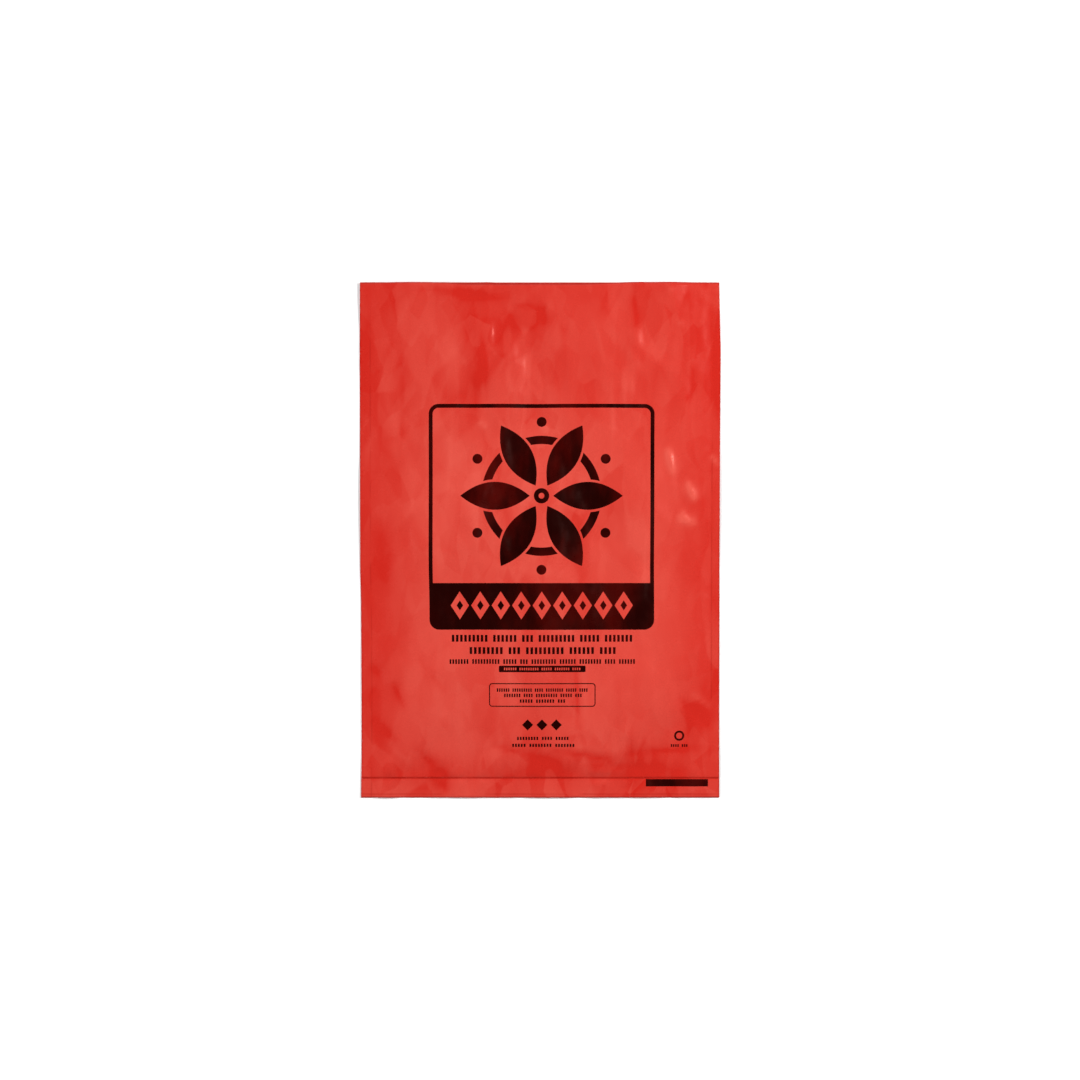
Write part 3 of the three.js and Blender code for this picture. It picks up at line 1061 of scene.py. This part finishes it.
def mottled(sums, y, where):
    """The uneven part of the film's tone, about 0: streaks and patches, and cells with soft borders."""
    streaks = sums.noise(sums.stretched(where, STREAKS), 1.0, 3, 0.55)
    patches = sums.noise(where, PATCHES)
    bent = sums.node("ShaderNodeVectorMath", operation="MULTIPLY_ADD")
    sums.put(bent.inputs[0], sums.noise(where, BEND, output="Color"))
    sums.put(bent.inputs[1], (BEND_REACH, BEND_REACH, BEND_REACH))
    sums.put(bent.inputs[2], where)
    softness = sums.ranged(sums.noise(where, SOFT_EDGES, 1), *SOFT_FROM, *SOFT_TO)
    broad_cells = sums.cells(sums.stretched(bent.outputs[0], BROAD), softness)
    small_cells = sums.cells(sums.stretched(bent.outputs[0], SMALL), softness)
    in_skirt = sums.sum("LESS_THAN", y, SEAL_FOOT_Y)
    small_share = sums.sum("MULTIPLY_ADD", in_skirt, SMALL_MORE_IN_SKIRT, SMALL_SHARE)
    return sums.add(
        sums.sum("MULTIPLY_ADD", sums.add(streaks, patches), NOISE_TONE, -NOISE_TONE),
        sums.sum("MULTIPLY_ADD", broad_cells, BROAD_SHARE, -BROAD_SHARE / 2),
        sums.sum("MULTIPLY", sums.sum("SUBTRACT", small_cells, 0.5), small_share),
    )


def printed_film():
    """Translucent red film, printed on its front panel. The print and the lines follow the flat film."""
    material = bpy.data.materials.new("red_film_printed")
    material.use_nodes = True
    tree = material.node_tree
    sums = Sums(tree)
    shader = tree.nodes["Principled BSDF"]
    parts = sums.node("ShaderNodeSeparateXYZ")
    sums.put(parts.inputs[0], sums.node("ShaderNodeUVMap", uv_map="flat_film").outputs["UV"])
    x = sums.sum("MULTIPLY_ADD", parts.outputs["X"], 2 * WIDTH, -HALF)
    y = sums.sum("MULTIPLY_ADD", parts.outputs["Y"], LENGTH, FOOT_Y)
    where = sums.node("ShaderNodeTexCoord").outputs["Object"]

    # This tone carries painted highlight and shade along the creases and painted shade at the margins
    made_tone_with_painted_light = sums.node("ShaderNodeAttribute", attribute_name="film_tone_with_painted_light").outputs["Fac"]
    lively = sums.node("ShaderNodeAttribute", attribute_name="crumpling").outputs["Fac"]
    drift = sums.sum("MULTIPLY", mottled(sums, y, where), lively)
    tone = sums.sum("ADD", made_tone_with_painted_light, drift, clamp=True)
    film = sums.between(tone, FILM_DEEP_AND_SHADED, FILM_MILKY_AND_LIT)
    film = sums.between(fold_lines(sums, x, y, where), film, SEAL_AND_FOLD_SHADE_RED)

    ink = ink_mask(sums, x, y)
    # Painted sheen on the ink: lighter maroon smears, most of all right of the band's left end
    smears = sums.ranged(sums.noise(sums.stretched(where, SMEARS), 1.0, 4, 0.6), *SMEARS_FROM)
    above_band = sums.sum("GREATER_THAN", y, BAND_TOP)
    in_band = sums.ranged(x, *SHEEN_STARTS, *SHEEN_IN_BAND)
    ink_sheen = sums.sum("MULTIPLY", smears, sums.most(sums.sum("MULTIPLY", above_band, SHEEN_ABOVE), in_band))
    inked = sums.between(ink_sheen, INK, INK_SHEEN)
    sums.put(shader.inputs["Base Color"], sums.between(ink, film, inked))

    haze = sums.noise(where, HAZE, 3, 0.6)
    gloss = sums.ranged(haze, *HAZE_FROM, *ROUGHNESS)
    sums.put(shader.inputs["Roughness"], sums.sum("MULTIPLY_ADD", ink, INK_ROUGHER, gloss))

    bump = sums.node("ShaderNodeBump")
    bump.inputs["Strength"].default_value = FINE_STRENGTH
    bump.inputs["Distance"].default_value = FINE_DEPTH
    sums.put(bump.inputs["Height"], sums.noise(sums.stretched(where, FINE_CRUMPLE), 1.0))
    sums.put(shader.inputs["Normal"], bump.outputs["Normal"])
    shader.inputs["IOR"].default_value = FILM_IOR
    shader.inputs["Specular IOR Level"].default_value = GLOSS_LEVEL
    shader.inputs["Specular Tint"].default_value = GLOSS_TINT
    return material


def plain(name, colour, roughness):
    """A matt material of one colour."""
    material = bpy.data.materials.new(name)
    material.use_nodes = True
    shader = material.node_tree.nodes["Principled BSDF"]
    shader.inputs["Base Color"].default_value = colour
    shader.inputs["Roughness"].default_value = roughness
    shader.inputs["Specular IOR Level"].default_value = FLOOR_GLOSS
    return material


# The studio, in metres and watts

FLOOR_REACH, FLOOR_DROP, FLOOR_WHITE, FLOOR_GLOSS = 8, 0.0003, (0.95, 0.95, 0.95, 1), 0.1

# The sky's colours and the heights, from 0 at the horizon to 1 overhead, over which they change
SKY_LOW, SKY_MIDDLE, SKY_HIGH = (1, 1, 1, 1), (0.5, 0.5, 0.5, 1), (0.02, 0.02, 0.02, 1)
FIRST_CHANGE, SECOND_CHANGE = (0.08, 0.4), (0.42, 0.8)
SKY_STRENGTH = 1.08


def pale_floor():
    """A plain floor, a hair below the bag."""
    mesh = bpy.data.meshes.new("floor")
    corners = [(FLOOR_REACH * x, FLOOR_REACH * y, 0) for x, y in ((-1, -1), (1, -1), (1, 1), (-1, 1))]
    mesh.from_pydata(corners, [], [(0, 1, 2, 3)])
    mesh.materials.append(plain("pale_floor", FLOOR_WHITE, 0.9))
    floor = bpy.data.objects.new("floor", mesh)
    floor.location.z = -FLOOR_DROP
    bpy.context.scene.collection.objects.link(floor)


def soft_light(name, place, size, watts, mirrored):
    """A square light that is turned to the bag. One that isn't mirrored gives no gloss."""
    lamp = bpy.data.lights.new(name, "AREA")
    lamp.shape = "SQUARE"
    lamp.size = size
    lamp.energy = watts
    light = bpy.data.objects.new(name, lamp)
    light.location = place
    light.rotation_euler = (-light.location).to_track_quat("-Z", "Y").to_euler()
    light.visible_camera = False
    light.visible_glossy = mirrored
    bpy.context.scene.collection.objects.link(light)


def pale_sky():
    """White at the horizon and dark overhead, so that the film's gloss doesn't veil its colour."""
    world = bpy.data.worlds.new("studio")
    bpy.context.scene.world = world
    world.use_nodes = True
    sums = Sums(world.node_tree)
    parts = sums.node("ShaderNodeSeparateXYZ")
    sums.put(parts.inputs[0], sums.node("ShaderNodeTexCoord").outputs["Generated"])
    low = sums.ranged(parts.outputs["Z"], *FIRST_CHANGE)
    high = sums.ranged(parts.outputs["Z"], *SECOND_CHANGE)
    colour = sums.between(high, sums.between(low, SKY_LOW, SKY_MIDDLE), SKY_HIGH)
    background = world.node_tree.nodes["Background"]
    background.inputs["Strength"].default_value = SKY_STRENGTH
    sums.put(background.inputs["Color"], colour)


def camera_above():
    """A camera straight above, which frames the bag as the photograph does."""
    frame_width = PHOTO_PIXELS * (WIDTH * MM) / BAG_PIXELS
    camera = bpy.data.objects.new("camera", bpy.data.cameras.new("camera"))
    camera.data.lens = LENS
    camera.data.sensor_width = SENSOR
    camera.location = (0, 0, frame_width * LENS / SENSOR + CAD_HIGH.z / 2)
    bpy.context.scene.collection.objects.link(camera)
    bpy.context.scene.camera = camera


camera_above()
pale_floor()
pale_sky()
soft_light("key", place=(2.0, 0.7, 1.5), size=0.8, watts=71, mirrored=True)
soft_light("fill", place=(-3.2, 0.0, 2.1), size=3.4, watts=155, mirrored=False)
bpy.context.scene.view_settings.view_transform = "Standard"

film = printed_film()
bag = joined(finished("film_bag", film_tube(), film), seal_ribs(film))
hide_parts("bag_film")
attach(bag, "root")

bpy.context.view_layer.update()
